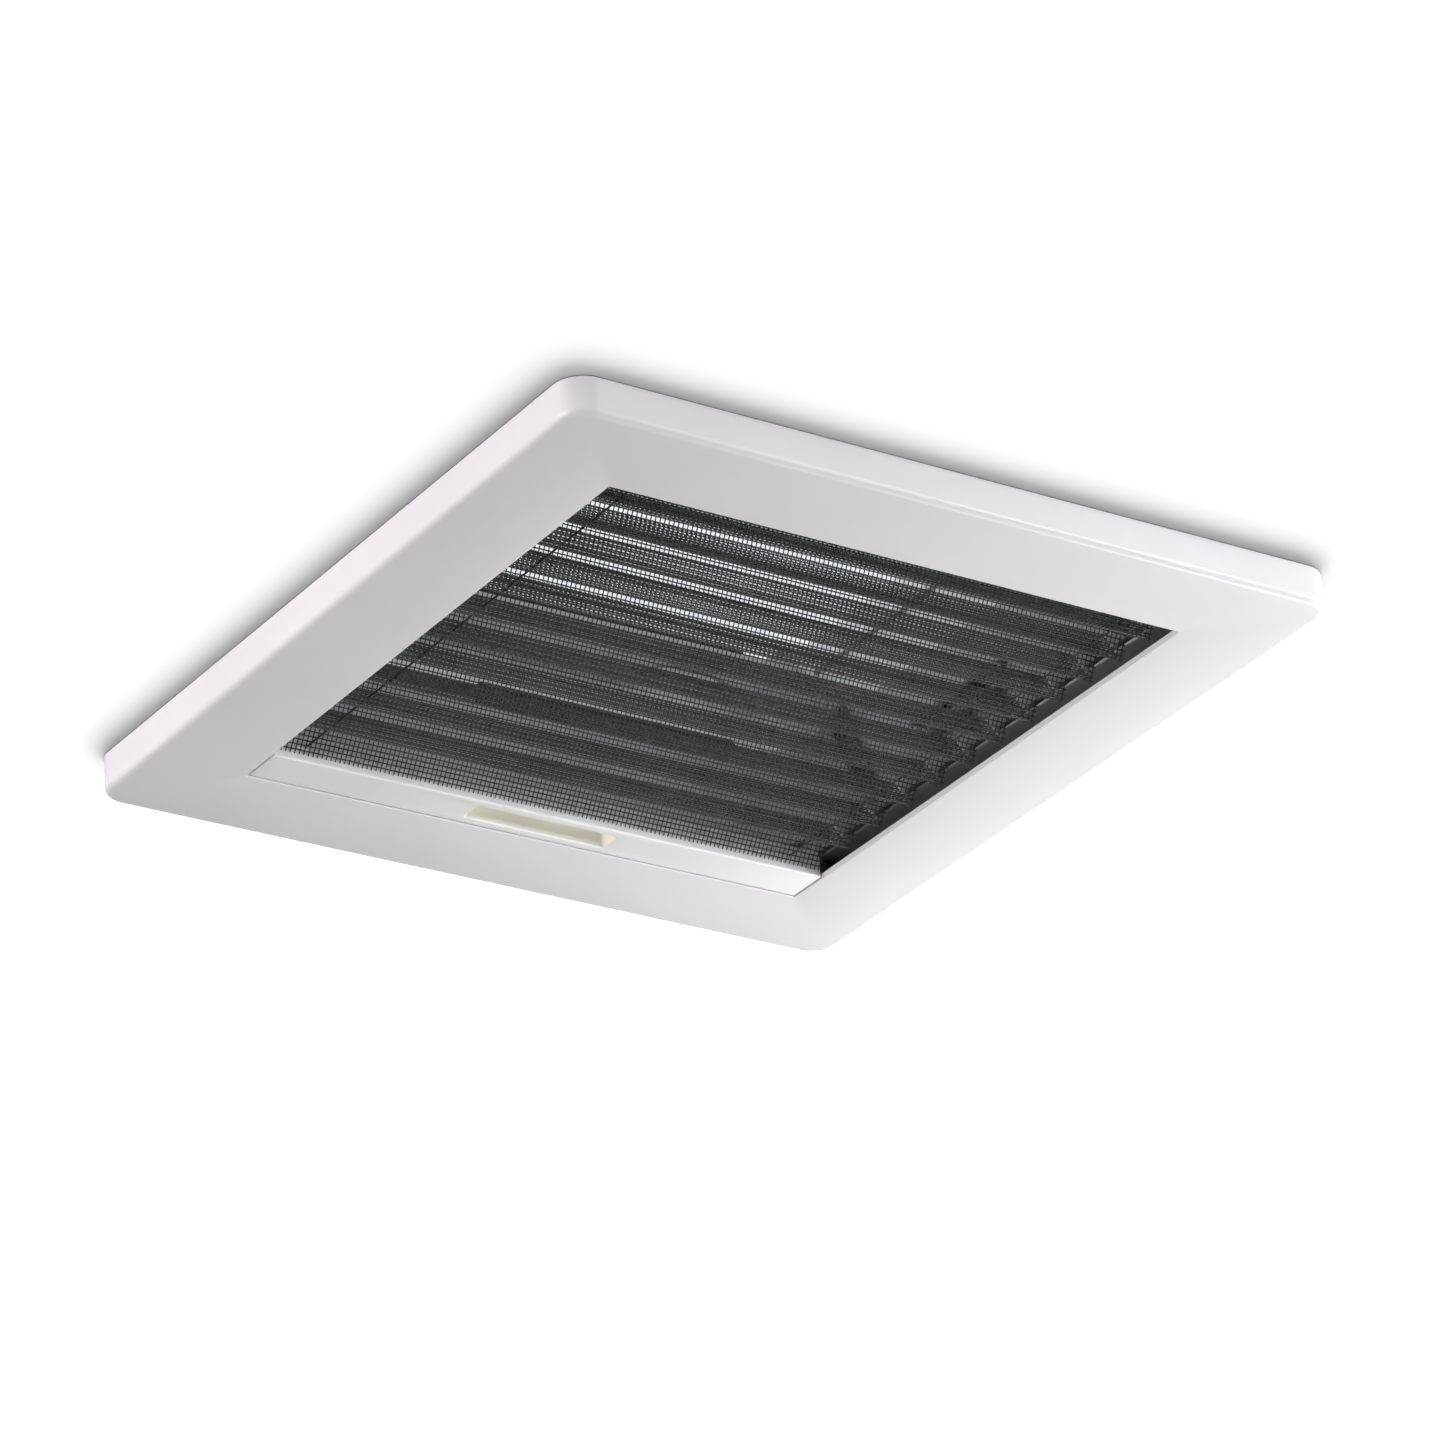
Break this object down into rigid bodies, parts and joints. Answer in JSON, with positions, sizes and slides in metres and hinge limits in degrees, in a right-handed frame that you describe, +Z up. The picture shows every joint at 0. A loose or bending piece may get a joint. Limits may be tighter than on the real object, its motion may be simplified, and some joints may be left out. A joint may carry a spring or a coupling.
{
  "type": "roof vent with pleated insect screen",
  "caption": "Caravan bathroom roof vent: square ceiling trim with a pleated insect screen on a pull bar, a clamped duct, and a hinged double-skin dome with a bail handle.",
  "frame": {"origin": "centre of the room-side face, on the plane that the face lies in", "axes": "+Z up through the ceiling and the roof, +X along the pull bar, +Y the way the insect screen closes; the dome is hinged at -Y"},
  "size_m": [0.38, 0.38, 0.126],
  "materials": {
    "trim_white": "satin moulded ABS",
    "bar_white": "satin moulded ABS",
    "liner_white": "moulded polypropylene",
    "roof_white": "UV-stable ABS",
    "rail_alu": "anodised extrusion",
    "net_charcoal": "coated glass-fibre net, pleated",
    "cord_grey": "braided polyester cord",
    "zinc": "zinc plated",
    "stainless": "stainless",
    "dark_plastic": "moulded POM",
    "guide_grey": "moulded POM",
    "handle_dark": "powder coated",
    "grip_rubber": "soft sleeve",
    "seal_black": "EPDM foam",
    "fibre": "fibre friction washer",
    "dome_opal": "translucent acrylic",
    "pane_opal": "translucent acrylic"
  },
  "bodies": {
    "frame": {"trim_frame": "trim_white", "guide_rail_left": "rail_alu", "guide_rail_right": "rail_alu", "screen_fixed_rail": "rail_alu", "screen_far_rail": "rail_alu", "rail_screws": "zinc", "insect_screen": "net_charcoal", "screen_cords": "cord_grey", "cord_anchors": "zinc", "clamp_frame": "liner_white", "clamp_screws": "zinc", "lock_guide_left": "guide_grey", "lock_guide_right": "guide_grey", "roof_frame": "roof_white", "roof_gasket": "seal_black", "hinge_bracket_left": "roof_white", "hinge_bracket_right": "roof_white", "bracket_screws": "stainless", "hinge_pin_left": "stainless", "hinge_pin_right": "stainless", "friction_washers": "fibre"},
    "screen_bar": {"pull_bar": "bar_white", "bar_cover": "bar_white", "bar_shoe_left": "dark_plastic", "bar_shoe_right": "dark_plastic"},
    "dome": {"dome_frame": "roof_white", "dome_inner": "pane_opal", "dome_outer": "dome_opal", "dome_seal": "seal_black", "hinge_leaf_left": "roof_white", "hinge_leaf_right": "roof_white", "leaf_screws": "stainless", "handle_carrier": "liner_white", "carrier_tape": "seal_black", "pivot_pin_left": "stainless", "pivot_pin_right": "stainless"},
    "handle": {"handle_arm_left": "handle_dark", "handle_arm_right": "handle_dark", "handle_rod": "handle_dark", "handle_grip": "grip_rubber"},
    "lock_left": {"lock_bolt_left": "dark_plastic"},
    "lock_right": {"lock_bolt_right": "dark_plastic"}
  },
  "joints": [
    {"name": "screen_slide", "type": "slide", "parent": "frame", "child": "screen_bar", "axis": [0, -1, 0], "range_m": [0, 0.22], "deforming": ["insect_screen"]},
    {"name": "dome_hinge", "type": "hinge", "parent": "frame", "child": "dome", "pos_m": [0, -0.166, 0.096], "axis": [1, 0, 0], "range_deg": [0, 50]},
    {"name": "handle_swing", "type": "hinge", "parent": "dome", "child": "handle", "pos_m": [0, 0.086, 0.066], "axis": [-1, 0, 0], "range_deg": [0, 68]},
    {"name": "lock_slide_left", "type": "slide", "parent": "frame", "child": "lock_left", "axis": [0, 1, 0], "range_m": [0, 0.044]},
    {"name": "lock_slide_right", "type": "slide", "parent": "frame", "child": "lock_right", "axis": [0, 1, 0], "range_m": [0, 0.044]}
  ]
}
